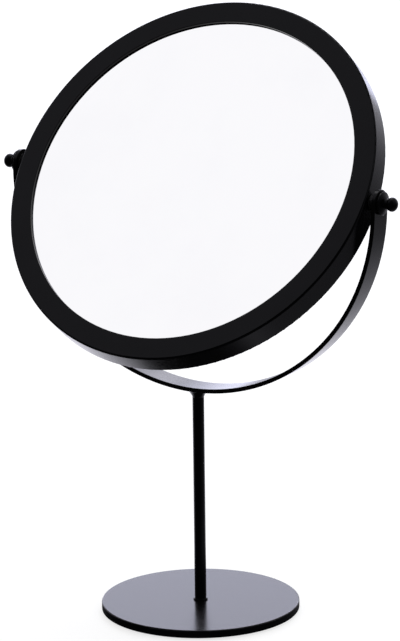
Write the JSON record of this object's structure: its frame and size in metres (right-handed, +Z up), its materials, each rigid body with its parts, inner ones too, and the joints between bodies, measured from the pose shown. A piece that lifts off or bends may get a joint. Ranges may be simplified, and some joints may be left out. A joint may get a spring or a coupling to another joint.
{
  "type": "swivel table mirror",
  "caption": "Round table mirror that swivels in a U-shaped flat-steel yoke, on a thin stem and a round base plate.",
  "frame": {"origin": "middle of the base's underside, on the table top", "axes": "+Z up, -Y the front that the mirror faces, X along the pivot axis with +X on the viewer's right"},
  "size_m": [0.303, 0.177, 0.4071],
  "materials": {
    "powder_coat": "satin black powder coat",
    "knob_steel": "satin black lacquer on turned steel",
    "black_steel": "black oxide, slightly oily",
    "zinc_steel": "zinc plated",
    "mirror": "silvered float glass",
    "gasket_rubber": "matte black",
    "pad_foam": "fine-celled black foam",
    "packing_card": "brown corrugated card",
    "cover_plastic": "fine moulded grain, black",
    "nylon": "black nylon"
  },
  "bodies": {
    "stand": {"base_plate": "powder_coat", "base_pad": "pad_foam", "foot_washer": "powder_coat", "stem": "powder_coat", "stem_screw": "zinc_steel", "yoke": "powder_coat", "stem_weld": "powder_coat", "yoke_bush_left": "nylon", "yoke_bush_right": "nylon"},
    "head": {"mirror_frame": "powder_coat", "glass_gasket": "gasket_rubber", "mirror_glass": "mirror", "packing_ring": "packing_card", "back_cover": "cover_plastic", "cover_tabs": "powder_coat", "cover_screws": "black_steel", "pivot_screw_left": "zinc_steel", "lock_washer_left": "zinc_steel", "spacer_nut_left": "black_steel", "knob_washer_left": "nylon", "pivot_screw_right": "zinc_steel", "lock_washer_right": "zinc_steel", "spacer_nut_right": "black_steel", "knob_washer_right": "nylon"},
    "knob_left": {"knob_left": "knob_steel"},
    "knob_right": {"knob_right": "knob_steel"}
  },
  "joints": [
    {"name": "head_tilt", "type": "hinge", "parent": "stand", "child": "head", "pos_m": [0, 0, 0.298], "axis": [1, 0, 0], "continuous": true},
    {"name": "knob_left_turn", "type": "hinge", "parent": "head", "child": "knob_left", "pos_m": [-0.147, 0, 0.298], "axis": [-1, 0, 0], "range_deg": [0, 360]},
    {"name": "knob_right_turn", "type": "hinge", "parent": "head", "child": "knob_right", "pos_m": [0.147, 0, 0.298], "axis": [1, 0, 0], "range_deg": [0, 360]}
  ]
}
